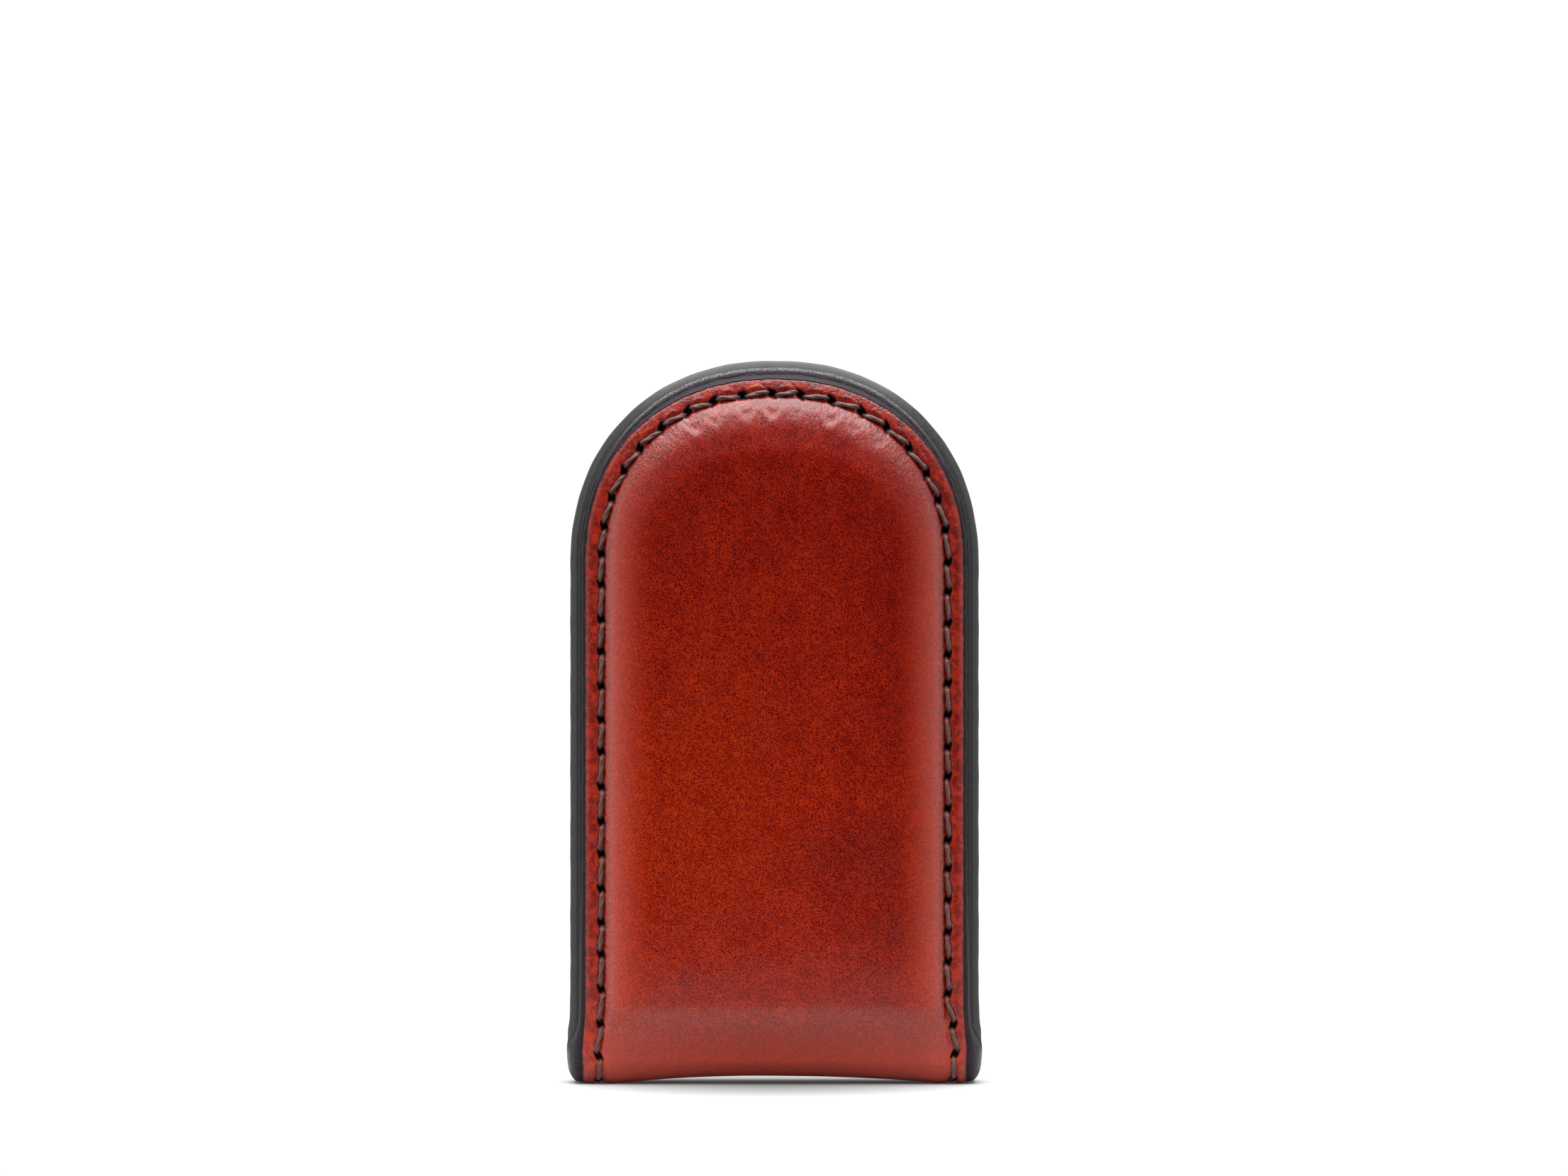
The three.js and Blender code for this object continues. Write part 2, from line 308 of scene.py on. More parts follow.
def puckers(path, out):
    """How far the leather is drawn in beside the stitches over the arch, along a bent crease at each one"""
    away = hole_distance(path.q)
    which = nearest_hole(path.q)
    strength = 0.75 + 0.45 * np.sin(3.7 * which + 0.5)
    shift = 0.3 * np.sin(2.3 * which)
    on_arch = smooth(path.arch, 0.45, 1.1)
    bent = -1.25 + 0.55 * (away - shift) ** 2
    crease = hump(out, bent, 0.28) - 0.55 * hump(out, bent - 0.5, 0.35)
    return 0.085 * strength * crease * hump(away, shift, 0.95) * on_arch


def dimples(path, out):
    """How far the leather is drawn in just inside each needle hole"""
    return 0.06 * hump(hole_distance(path.q), 0, 0.7) * hump(out, -0.55, 0.3)


def seam_ridge(path, out):
    """The leather that the stitches press up outside them, most of all between the holes"""
    between = smooth(np.abs(hole_distance(path.q)), 0.45, 1.2)
    ridge = 0.055 * hump(out - seam_shift(path.q), 0.36 + 0.22 * between, 0.17) * (0.4 + 0.6 * between)
    return ridge * (1 - under_fold(path))


def face_depth(w, path, x, along):
    """The depth of the outer leather's face at a ring, which is the same for both leaves"""
    up = pillow_share(w) * smooth(along, PILLOW_LOW, PILLOW_HIGH)
    dome = 1 + PILLOW_DOME * (1 - (x / DOME_WIDTH) ** 2)
    depth = OUTER + PILLOW_RISE * up * dome
    out = w - SEAM_W
    groove = seam_groove(path) * hump(out, seam_shift(path.q), GROOVE_WIDTH)
    depth = depth - groove - HOLE_DEPTH * pits(path, out)
    depth = depth - puckers(path, out)
    depth = depth - dimples(path, out)
    depth = depth + seam_ridge(path, out)
    depth = depth - edge_roll(EDGE_W - w, path)
    return depth + waves(x, along) * smooth(EDGE_W - w, 1.2, 3.5)


# Meshes


def make_object(name, points, faces, look, maps=(), smooth_shade=True, sharp=()):
    """A mesh from points in millimetres, with named maps of vectors on it. The edges between two of the sharp
    points stay sharp."""
    mesh = bpy.data.meshes.new(name)
    mesh.from_pydata((np.asarray(points) * MM).tolist(), [], faces)
    for key, values in maps:
        layer = mesh.attributes.new(key, "FLOAT_VECTOR", "POINT")
        layer.data.foreach_set("vector", np.asarray(values, np.float32).ravel())
    mesh.update()
    mesh.validate()
    mesh.materials.append(look)
    if smooth_shade:
        mesh.shade_smooth()
    if len(sharp):
        flags = np.zeros(len(mesh.edges), bool)
        pairs = np.empty(2 * len(mesh.edges), np.int32)
        mesh.edges.foreach_get("vertices", pairs)
        marked = np.zeros(len(mesh.vertices), bool)
        marked[list(sharp)] = True
        flags[:] = marked[pairs].reshape(-1, 2).all(axis=1)
        layer = mesh.attributes.get("sharp_edge") or mesh.attributes.new("sharp_edge", "BOOLEAN", "EDGE")
        layer.data.foreach_set("value", flags)
    thing = bpy.data.objects.new(name, mesh)
    bpy.context.scene.collection.objects.link(thing)
    turn_out(mesh)
    return thing


def turn_out(mesh):
    """Turns a closed mesh's faces outwards if they point inwards"""
    co = np.empty(3 * len(mesh.vertices), np.float32)
    mesh.vertices.foreach_get("co", co)
    co = co.reshape(-1, 3)
    mesh.calc_loop_triangles()
    tri = np.empty(3 * len(mesh.loop_triangles), np.int32)
    mesh.loop_triangles.foreach_get("vertices", tri)
    a, b, c = (co[tri.reshape(-1, 3)[:, i]] for i in range(3))
    if np.einsum("ij,ij->", a, np.cross(b, c)) < 0:
        mesh.flip_normals()


def grid_faces(rows, columns):
    """Quads between rows of points, in order"""
    here = np.arange(rows - 1)[:, None] * columns + np.arange(columns - 1)[None, :]
    here = here.ravel()
    return np.stack([here, here + 1, here + columns + 1, here + columns], axis=1).tolist()


def tube_faces(sides, count, first=0):
    """The faces of a closed tube, whose points run along one side after another. Its end caps are last."""
    faces = []
    for k in range(sides):
        here = first + k * count + np.arange(count - 1)
        there = first + (k + 1) % sides * count + np.arange(count - 1)
        faces += np.stack([here, here + 1, there + 1, there], axis=1).tolist()
    start = [first + k * count for k in range(sides)]
    end = [point + count - 1 for point in start]
    return [*faces, start, end[::-1]]


def filling(ring, first, columns):
    """Fills a ring with rows of points from side to side. first is the index of the first of those points.
    Returns the faces, and the row at the ring's open end."""
    half = (len(ring) - 1) // 2
    rows = []
    for i in range(half):
        inner = [first + i * (columns - 1) + c for c in range(columns - 1)]
        rows.append([ring[i], *inner, ring[-1 - i]])
    faces = []
    for low, high in zip(rows, rows[1:]):
        for c in range(columns):
            faces.append([low[c], low[c + 1], high[c + 1], high[c]])
    for c in range(columns):
        faces.append([rows[-1][c], rows[-1][c + 1], ring[half]])
    return faces, rows[0]


# How far out from the seam the filled middle counts as being, in the seam map
FAR_INSIDE = -9.0


def skin(name, leaf, path, face_rings, back_rings, columns, look, face, back):
    """A closed layer of the strap. face and back give a depth at (w, path, x, along). The rings of the face
    run from its filling outwards, and those of the back run from the edge inwards to its own filling."""
    points, strap, seam = [], [], []

    def add(at, w, depth_at, x, height, out, pit):
        along = FOLD_Z + height - OUTER * at.turn
        depth = np.broadcast_to(depth_at(w, at, x, along), x.shape)
        points.append(around(leaf, x, height, at.turn, depth))
        strap.append(strap_place(leaf, x, height, at.turn))
        seam.append(np.stack([at.q, np.full(len(at), out), pit], axis=-1))

    rings = [(w, face) for w in face_rings] + [(w, back) for w in back_rings]
    for w, depth_at in rings:
        x, height = flat_place(leaf, w, path)
        add(path, w, depth_at, x, height, w - SEAM_W, pits(path, w - SEAM_W))
    count = len(path)
    half = (count - 1) // 2
    faces = grid_faces(len(rings), count)
    firsts = []
    share = 1 - 2 * np.arange(1, columns) / columns
    row_path = Path(np.repeat(path.q[:half], columns - 1))
    for w, depth_at in (rings[0], rings[-1]):
        firsts.append(sum(len(p) for p in points))
        x, height = flat_place(leaf, w, path)
        row_x = (x[:half, None] * share[None, :]).ravel()
        row_height = np.repeat(height[:half], columns - 1)
        add(row_path, 0.0, depth_at, row_x, row_height, FAR_INSIDE, np.zeros(len(row_path)))
    inner_ring = list(range(count))
    last_ring = [(len(rings) - 1) * count + i for i in range(count)]
    top_faces, top_row = filling(inner_ring, firsts[0], columns)
    low_faces, low_row = filling(last_ring, firsts[1], columns)
    faces += top_faces
    faces += [f[::-1] for f in low_faces]
    right = [k * count for k in range(len(rings))]
    left = [k * count + count - 1 for k in range(len(rings))]
    cap = top_row + left[1:-1] + low_row[::-1] + right[1:-1][::-1]
    faces.append(cap)
    maps = (("strap", np.concatenate(strap)), ("seam", np.concatenate(seam)))
    return make_object(name, np.concatenate(points), faces, look, maps, sharp=cap)


def spaced(low, high, step):
    """Even places from low up to but not at high, about a step apart"""
    return list(np.linspace(low, high, max(2, round((high - low) / step) + 1)))[:-1]


# The rings of the outer leather's face as (from, to, step), then those on its rolled edge
FACE_STEPS = (
    (9.0, 10.5, 0.5),
    (10.5, 13.8, 0.3),
    (13.8, 15.3, 0.15),
    (15.3, 16.8, 0.083),
    (16.8, 17.5, 0.14),
)
EDGE_RINGS = (17.5, 17.6, 17.66, EDGE_W)


def outer_skin(leaf, look):
    rings = [w for step in FACE_STEPS for w in spaced(*step)] + list(EDGE_RINGS)

    def back(w, path, x, along):
        """The leather's back, which rises over the board and the magnets"""
        roof = (1 - smooth(w, 12.9, 15.1)) * smooth(along, 6.5, 9.3)
        return LEATHER_BACK + PILLOW_RISE * roof + 0 * x

    back_rings = [EDGE_W, 15.1, 14.5, 13.8, 12.9]
    return skin(f"{leaf}_outer_skin", leaf, even_path(0.13), rings, back_rings, 28, look, face_depth, back)


def lining_depth(w, path, x, along):
    """The depth of the lining's face, which looks into the gap: dented at the seam and rolled at the edge"""
    out = w - SEAM_W
    dent = 0.1 * hump(out, 0, 0.45) + 0.35 * pits(path, out)
    roll = 0.12 * (1 - smooth(EDGE_W - w, 0, 0.5))
    return INNER + dent + roll + 0.3 * waves(x, along + 9) * smooth(along, 3, 9)


def lining_skin(leaf, look):
    rings = [14.2, 14.9, 15.3] + spaced(15.5, 16.7, 0.1) + [16.7, 16.9, 17.15, 17.4, 17.55, 17.65, 17.7]

    def back(w, path, x, along):
        return LINING_BACK + 0 * x

    back_rings = [EDGE_W, 15.5]
    return skin(f"{leaf}_lining_skin", leaf, even_path(0.2), rings, back_rings, 14, look, lining_depth, back)


# The edge paint

# Round the fold, up to this height above it, both leaves' paint makes one edge of this half width
FILLED_TO = 2.2
FILLED_X = 19.12

# Each leaf's paint stops at the first depth, and stands the second proud of the leather's face
LIP = 0.03
PROUD = 0.03

# The angles of the points round a bead's section, from the leather's face to the lining's
BULGE = np.radians(np.linspace(77, -84, 24))


def edge_coat(leaf, section, look):
    """A closed section carried along the edge. section gives the reaches of its points past the cut edge, and
    their depths, each along the whole path."""
    path = even_path(0.2)
    lines = []
    marks = []
    for reach, depth in zip(*section(path)):
        reach = np.broadcast_to(reach, path.q.shape)
        depth = np.broadcast_to(depth, path.q.shape)
        lines.append(place(leaf, EDGE_W, depth, path, reach))
        marks.append(np.stack([path.q, reach, depth], axis=-1))
    faces = tube_faces(len(lines), len(path))
    caps = faces[-2] + faces[-1]
    maps = (("seam", np.concatenate(marks)),)
    return make_object(f"{leaf}_edge_coat", np.concatenate(lines), faces, look, maps, sharp=caps)


def uneven(q, *terms):
    """A sum of waves along the path, each as (size, rate, shift)"""
    return sum(size * np.sin(rate * q + shift) for size, rate, shift in terms)


def filled_share(path):
    """1 where the paint bridges the gap between the leaves, round the fold, and 0 above it"""
    return 1 - smooth(path.lift, FILLED_TO - 1.3, FILLED_TO + 1.3)


def filled_reach(leaf, path, depth):
    """The one rounded edge that both leaves share round the fold, past the flare of the strap itself"""
    cut = EDGE_W + sides_of(leaf)[1]
    own = edge_x(leaf, path.turn, depth)
    round_share = np.sqrt(np.clip(1 - (depth / OUTER) ** 2, 0, 1))
    target = own + (FILLED_X - own) * round_share
    return target * cut / own - cut


def edge_section(leaf, path, lap, bead):
    """A leaf's paint, from a film that laps on to the leather's face, round a bead, to a lip that tucks in
    at the lining. Round the fold it becomes half of one edge that both leaves share."""
    flat = 0 * path.q
    filled = filled_share(path)
    middle = (LIP + OUTER) / 2
    drop = edge_roll(0, path)
    inner_power = 1.1 + (0.6 * smooth(path.arch, 0.2, 1.0) if leaf == "back" else 0.0)
    swell = 0.5 if leaf == "back" else 0.0
    lapped = OUTER - edge_roll(lap, path)
    reaches = [-lap, -lap + 0.03]
    depths = [lapped - 0.03, lapped + 0.02]
    for share in (0.8, 0.6, 0.4, 0.2, 0.0):
        reaches.append(-lap * share)
        depths.append(OUTER - edge_roll(lap * share, path) + PROUD)
    for k, angle in enumerate(BULGE):
        own_depth = middle + (OUTER - drop - middle) * math.sin(angle)
        power = 0.7 if angle > 0 else inner_power
        own_reach = GLUE + (bead - GLUE) * math.cos(angle) ** power
        shared_depth = (OUTER - drop) * math.cos(math.pi / 2 * (k + 1) / len(BULGE))
        shared_reach = filled_reach(leaf, path, shared_depth)
        depths.append(own_depth * (1 - filled) + shared_depth * filled)
        reaches.append(own_reach * (1 - filled) + shared_reach * filled + swell * filled * (1 - filled))
    lip = ((-0.02, LIP + 0.02), (-0.2, INNER - 0.05), (-0.3, INNER + 0.04), (-0.06, INNER + 0.3))
    for reach, depth in lip:
        reaches.append(reach + flat)
        depths.append(depth * (1 - filled) + (depth - LIP) * filled)
    reaches.append(-0.06 + flat)
    depths.append(OUTER - 0.6 + flat)
    return reaches, depths


def front_section(path):
    """The front leaf's paint is thin with a ragged rim. It is thicker over the arch and low down."""
    top = smooth(path.arch, 0.35, 1.25)
    low = 1 - smooth(path.lift, 4, 20)
    ragged = uneven(path.q, (0.02, 2.3, 0), (0.015, 5.9, 1), (0.012, 11.3, 2))
    lap = 0.15 + 0.35 * top + ragged
    bead = 0.27 + 0.2 * low + 0.36 * top + uneven(path.q, (0.012, 1.7, 1), (0.01, 4.1, 0))
    return edge_section("front", path, lap, bead)


def back_section(path):
    """The back leaf's paint is one thick, smooth, rounded bead"""
    top = smooth(path.arch, 0.3, 1.2)
    lap = 0.1 + 0 * path.q
    bead = 1.05 - 0.05 * top + uneven(path.q, (0.012, 0.9, 0), (0.01, 2.3, 1))
    return edge_section("back", path, lap, bead)


# Threads

# A stitch's two plies: their radius, how far each is from the stitch's middle, the points round each, and the
# length of a twist
PLY_RADIUS = 0.16
PLY_ORBIT = 0.065
PLY_SIDES = 8
TWIST_PITCH = 2.6

# How far from a hole's middle a stitch ends, and over what length and how deep it dips towards it
HOLE_GAP = 0.31
DIP_LENGTH = 0.2
DIP_DEPTH = 0.8


def thread_line(leaf, start, end, start_dip, end_dip, surface, out, count):
    """A stitch's centre line: its q, its points, and the directions off the surface and beside it"""
    share = np.linspace(0, 1, count)
    q = start + (end - start) * share
    path = Path(q)
    lean = slant_at(0 * q + (start + end) / 2) * (1 - 2 * share) + seam_shift(q)
    dive = start_dip * np.exp(-(((q - start) / DIP_LENGTH) ** 2))
    dive = dive + end_dip * np.exp(-(((end - q) / DIP_LENGTH) ** 2))
    rise = 0.05 * np.sin(math.pi * share)
    depth = surface + out * (0.07 + rise - DIP_DEPTH * dive)
    if out > 0:
        depth = depth - (seam_groove(path) - seam_groove(Path(HALF_PATH)))
    centre = place(leaf, SEAM_W, depth, path, lean)
    above = place(leaf, SEAM_W, depth + out * 0.05, path, lean)
    normal = above - centre
    normal /= np.linalg.norm(normal, axis=1, keepdims=True)
    tangent = np.gradient(centre, axis=0)
    tangent /= np.linalg.norm(tangent, axis=1, keepdims=True)
    beside = np.cross(tangent, normal)
    beside /= np.linalg.norm(beside, axis=1, keepdims=True)
    normal = np.cross(beside, tangent)
    return q, centre, normal, beside


def stitching(name, leaf, surface, out, look):
    """A row of stitches of two twisted plies. out is 1 on the outer leather and -1 on the lining."""
    points, faces, marks = [], [], []
    spans = [(0.0, HOLES[0], 0.0, 1.0)]
    spans += [(a, b, 1.0, 1.0) for a, b in zip(HOLES, HOLES[1:])]
    spans += [(HOLES[-1], 2 * HALF_PATH, 1.0, 0.0)]
    for n, (start, end, start_dip, end_dip) in enumerate(spans):
        count = max(10, round((end - start) / 0.09))
        start = start + HOLE_GAP * start_dip
        end = end - HOLE_GAP * end_dip
        q, centre, normal, beside = thread_line(leaf, start, end, start_dip, end_dip, surface, out, count)
        meets_other_leaf = not start_dip or not end_dip
        for ply in range(2):
            turn = 1.7 * n + ply * math.pi + 2 * math.pi * (q - q[0]) / TWIST_PITCH
            if meets_other_leaf:
                turn = ply * math.pi + 2 * math.pi * np.minimum(q, 2 * HALF_PATH - q) / TWIST_PITCH
            axis = centre + PLY_ORBIT * (np.cos(turn)[:, None] * normal + np.sin(turn)[:, None] * beside)
            faces += tube_faces(PLY_SIDES, count, sum(len(p) for p in points))
            for s in range(PLY_SIDES):
                angle = 2 * math.pi * s / PLY_SIDES
                rim = math.cos(angle) * normal + math.sin(angle) * beside
                points.append(axis + PLY_RADIUS * rim)
                marks.append(np.stack([q, angle + 0 * q, ply + 0 * q], axis=-1))
    return make_object(name, np.concatenate(points), faces, look, (("seam", np.concatenate(marks)),))


# The foam pads, which are crowned where their CAD solids are flat

# Their outline: half width, arch height, bottom and the radius of the lower corners
PAD_WIDTH = 12.8
PAD_HEIGHT = 10.8
PAD_BOTTOM = 9.2
PAD_CORNER = 2.6
PAD_MIDDLE = 34.0

# The depth of their back, and their thickness
PAD_FROM = 2.41
PAD_THICK = 0.38

# Their crown, from the rim inwards: the share of the outline, and the share of the thickness there
PAD_CROWN = ((1, 0.5), (0.995, 0.8), (0.98, 0.95), (0.95, 1.0), (0.85, 1.06), (0.6, 1.12), (0.3, 1.15))


def pad_outline():
    """The outline's points, from the right end of the arch over it and back round below"""
    across, up = arch_shares(np.linspace(0, math.pi / 2, 25))
    right = [(PAD_WIDTH * a, ARCH_Z + PAD_HEIGHT * u) for a, u in zip(across, up)]
    left = [(-x, z) for x, z in right[-2::-1]]
    corner_z = PAD_BOTTOM + PAD_CORNER
    climb = np.linspace(ARCH_Z, corner_z, 20)[1:-1]
    down = [(-PAD_WIDTH, z) for z in climb]
    rise = [(PAD_WIDTH, z) for z in climb[::-1]]
    corners = []
    for middle, start in ((-PAD_WIDTH + PAD_CORNER, math.pi), (PAD_WIDTH - PAD_CORNER, 1.5 * math.pi)):
        for angle in np.linspace(start, start + math.pi / 2, 8):
            corners.append((middle + PAD_CORNER * math.cos(angle), corner_z + PAD_CORNER * math.sin(angle)))
    return np.array(right + left + down + corners + rise)


def foam_pad(leaf, look):
    side = LEAVES[leaf]
    outline = pad_outline()
    count = len(outline)
    middle = np.array([0.0, PAD_MIDDLE])
    rings = []
    for share, top in PAD_CROWN[::-1]:
        rings.append((share, PAD_FROM + PAD_THICK * top))
    for share, top in PAD_CROWN[1:]:
        rings.append((share, PAD_FROM + PAD_THICK * max(0.0, 1 - top) * 0.5))
    points = []
    for share, depth in rings:
        flat = middle + (outline - middle) * share
        points.append(np.stack([flat[:, 0], np.full(count, side * depth), flat[:, 1]], axis=-1))
    tops = [[0, side * rings[0][1], PAD_MIDDLE], [0, side * rings[-1][1], PAD_MIDDLE]]
    faces = []
    for k in range(len(rings) - 1):
        for i in range(count):
            j = (i + 1) % count
            faces.append([k * count + i, k * count + j, (k + 1) * count + j, (k + 1) * count + i])
    first, last = len(rings) * count, len(rings) * count + 1
    low = (len(rings) - 1) * count
    for i in range(count):
        j = (i + 1) % count
        faces.append([first, j, i])
        faces.append([last, low + i, low + j])
    cloud = np.concatenate([*points, np.array(tops)])
    strap = np.stack([cloud[:, 0], cloud[:, 2], cloud[:, 1]], axis=-1)
    return make_object(f"{leaf}_pad", cloud, faces, look, (("strap", strap),))


# Materials


def rgb(red, green, blue):
    """A colour as it is seen on a screen, from 0 to 255, in the linear values that a shader takes"""
    linear = []
    for value in (red, green, blue):
        share = value / 255
        linear.append(share / 12.92 if share <= 0.04045 else ((share + 0.055) / 1.055) ** 2.4)
    return (*linear, 1.0)


class Nodes:
    """A node tree being built. Sockets go by name or number, and a value that is a socket gets linked."""

    def __init__(self, tree):
        self.tree = tree

    def add(self, kind, sockets=None, out=0, **settings):
        made = self.tree.nodes.new(kind)
        for key, value in settings.items():
            setattr(made, key, value)
        for key, value in (sockets or {}).items():
            self.join(value, made.inputs[key])
        return made.outputs[out]

    def join(self, value, socket):
        if isinstance(value, bpy.types.NodeSocket):
            self.tree.links.new(value, socket)
        else:
            socket.default_value = value

    def parts(self, vector):
        made = self.tree.nodes.new("ShaderNodeSeparateXYZ")
        self.join(vector, made.inputs[0])
        return made.outputs

    def scaled(self, vector, sizes):
        return self.add("ShaderNodeVectorMath", {0: vector, 1: sizes}, operation="MULTIPLY")

    def moved(self, vector, by):
        return self.add("ShaderNodeVectorMath", {0: vector, 1: by}, operation="ADD")

    def length(self, vector):
        return self.add("ShaderNodeVectorMath", {0: vector}, out="Value", operation="LENGTH")

    def slanted(self, vector):
        """Turns a flat map out of the noise's own grid, which would show in it"""
        sockets = {"Vector": vector, "Rotation": (0.7, 0.5, 0.9)}
        return self.add("ShaderNodeVectorRotate", sockets, rotation_type="EULER_XYZ")

    def math(self, operation, first, second=0.0, clamp=False):
        return self.add("ShaderNodeMath", {0: first, 1: second}, operation=operation, use_clamp=clamp)

    def times(self, first, second):
        return self.math("MULTIPLY", first, second)

    def plus(self, first, second):
        return self.math("ADD", first, second)

    def minus(self, first, second):
        return self.math("SUBTRACT", first, second)

    def larger(self, first, second):
        return self.math("MAXIMUM", first, second)

    def noise(self, vector, scale, detail=2.0, roughness=0.5, distortion=0.0, out="Fac"):
        sockets = {
            "Vector": vector,
            "Scale": scale,
            "Detail": detail,
            "Roughness": roughness,
            "Distortion": distortion,
        }
        return self.add("ShaderNodeTexNoise", sockets, out=out)

    def ramp(self, value, low, high, start=0.0, end=1.0, kind="SMOOTHSTEP"):
        """Goes from start to end while the value goes from low to high, and stays there"""
        sockets = {"Value": value, "From Min": low, "From Max": high, "To Min": start, "To Max": end}
        return self.add("ShaderNodeMapRange", sockets, interpolation_type=kind)

    def mix(self, share, first, second, blend="MIX"):
        sockets = {"Factor": share, 6: first, 7: second}
        return self.add("ShaderNodeMix", sockets, out=2, data_type="RGBA", blend_type=blend)

    def bump(self, height, distance, normal=None):
        sockets = {"Height": height, "Distance": distance * MM, "Strength": 1.0}
        if normal is not None:
            sockets["Normal"] = normal
        return self.add("ShaderNodeBump", sockets)


class Look(Nodes):
    """A material being built, by its shader's inputs"""

    def __init__(self, name, **uniform):
        self.material = bpy.data.materials.new(name)
        self.material.use_nodes = True
        super().__init__(self.material.node_tree)
        self.shader = next(n for n in self.tree.nodes if n.type == "BSDF_PRINCIPLED")
        self.feed(**uniform)

    def feed(self, **inputs):
        for key, value in inputs.items():
            self.join(value, self.shader.inputs[key.replace("_", " ")])

    def place(self, name):
        """One of a mesh's own maps. strap is a place on the flat strap. seam is (q, distance out from the
        seam, share of a needle hole) on leather, (q, reach, depth) on paint and (q, angle, ply) on thread."""
        return self.add("ShaderNodeAttribute", attribute_name=name, out="Vector")


def patch(look, spot, x, along, across, tall):
    """1 in a soft patch round a place on the strap, and 0 outside it"""
    moved = look.moved(spot, (-x, -along, 0.0))
    scaled = look.scaled(moved, (1 / across, 1 / tall, 1.0))
    return look.ramp(look.length(scaled), 1.0, 0.15)


def grain(look, spot, size):
    """Leather grain: (light winding lines between dark islands, the height of the islands)"""
    field = look.noise(spot, 1.5 / size, 0.0, 0.5, 0.3)
    ridge = look.math("ABSOLUTE", look.minus(field, 0.5))
    lines = look.ramp(ridge, 0.19, 0.0)
    return lines, look.minus(1.0, lines)


def dye(look, flat, spot, along):
    """The colours of the grain's islands and lines. They drift, warmer on the left and darker low down on the
    right."""
    wide = look.noise(look.slanted(look.scaled(flat, (0.11, 0.045, 1.0))), 1.0, 3.0, 0.6)
    cloud = look.noise(spot, 0.3, 4.0, 0.6)
    tone = look.plus(look.times(wide, 0.6), look.times(cloud, 0.4))
    tone = look.ramp(tone, 0.38, 0.64)
    low_down = look.ramp(along, 56.0, 16.0, 0.0, 0.6)
    leftward = look.ramp(look.parts(flat)[0], 12.0, -12.0, -0.2, 0.24, "LINEAR")
    tone = look.math("ADD", look.times(tone, 0.6), look.plus(low_down, leftward), clamp=True)
    island = look.mix(tone, rgb(79, 0, 0), rgb(100, 3, 0))
    line = look.mix(tone, rgb(130, 20, 4), rgb(156, 38, 4))
    warp = look.noise(spot, 0.35, 3.0, out="Color")
    bent = look.moved(flat, look.scaled(look.moved(warp, (-0.5, -0.5, -0.5)), (9.0, 5.0, 0.0)))
    warm = patch(look, bent, -6.0, 27.0, 11.0, 20.0)
    island = look.mix(look.times(warm, 0.6), island, rgb(110, 8, 0))
    line = look.mix(look.times(warm, 0.5), line, rgb(162, 48, 4))
    dark = look.larger(patch(look, bent, 8.5, 21.0, 9.5, 6.5), patch(look, bent, 11.5, 15.0, 6.0, 7.0))
    island = look.mix(look.times(dark, 0.55), island, rgb(74, 4, 5))
    line = look.mix(look.times(dark, 0.5), line, rgb(116, 28, 18))
    return island, line


def stretch_and_painted_light(look, colour, out, along):
    """Pales the leather where it is pulled over the pillow's flank and round the fold. This is partly the
    real paling of leather drawn tight and partly painted light: a painted highlight on the flank and painted
    bounce light round the fold. It also paints an orange highlight below the arch and bounce light on the low
    edge.
    """
    flank = look.times(look.ramp(out, -5.6, -1.0), look.ramp(out, -0.45, -1.2))
    flank = look.times(flank, look.ramp(along, 2.0, 12.0, 0.1, 1.0))
    over_fold = look.times(look.ramp(along, 8.5, 4.0), look.ramp(along, -0.5, 2.0))
    pulled = look.larger(flank, look.times(over_fold, 0.45))
    # partly painted light: pales the flank as a painted highlight and the fold as painted bounce light, on
    # top of the paling of leather drawn tight
    paling_and_painted_light = look.plus(1.0, look.times(pulled, 0.18))
    colour = look.mix(1.0, colour, paling_and_painted_light, "MULTIPLY")
    # painted highlight: an orange tint on the lit flank and fold below the arch
    painted_orange_light = look.times(pulled, look.ramp(along, 58.0, 48.0, 0.0, 0.4))
    colour = look.mix(painted_orange_light, colour, rgb(168, 46, 2))
    # painted bounce light: the leather turned under the fold is lightened as if lit from the floor
    painted_bounce_light = look.times(look.ramp(along, 6.0, 1.2), look.ramp(along, -1.2, 0.4))
    return look.mix(look.times(painted_bounce_light, 0.35), colour, rgb(190, 50, 8))


def mottle_stain_and_painted_shade(look, colour, spot, out, along, hole):
    """Mottles the margin outside the seam and darkens the cut edge. It also paints shade: a painted shade on
    the underside of the fold and in the needle holes.
    """
    mottled = look.ramp(look.noise(spot, 1.5, 3.0, 0.6), 0.42, 0.6)
    mottled = look.mix(mottled, rgb(92, 3, 0), rgb(164, 34, 3))
    margin = look.times(look.ramp(out, 0.1, 0.5), 0.55)
    colour = look.mix(margin, colour, mottled)
    near_edge = look.ramp(out, 0.9, 1.6)
    colour = look.mix(look.times(near_edge, 0.3), colour, rgb(60, 8, 10))
    # painted shade: the leather on the underside of the fold is darkened
    under = look.ramp(along, 0.4, -1.6)
    colour = look.mix(look.times(under, 0.45), colour, rgb(60, 16, 16))
    # painted shade: the needle holes are darkened nearly to black
    return look.mix(hole, colour, rgb(8, 4, 4))


def crinkles(look, out, along):
    """The height of the fine creases beside the seam, which are stronger over the arch"""
    crinkle = look.noise(look.slanted(look.scaled(look.place("seam"), (3.2, 2.9, 0.0))), 1.0, 2.6, 0.62, 0.4)
    beside = look.times(look.ramp(out, -3.6, -0.7), look.ramp(out, 2.4, 0.8))
    over_arch = look.ramp(along, 52.0, 60.0, 0.4, 1.0)
    return look.times(crinkle, look.times(beside, over_arch))


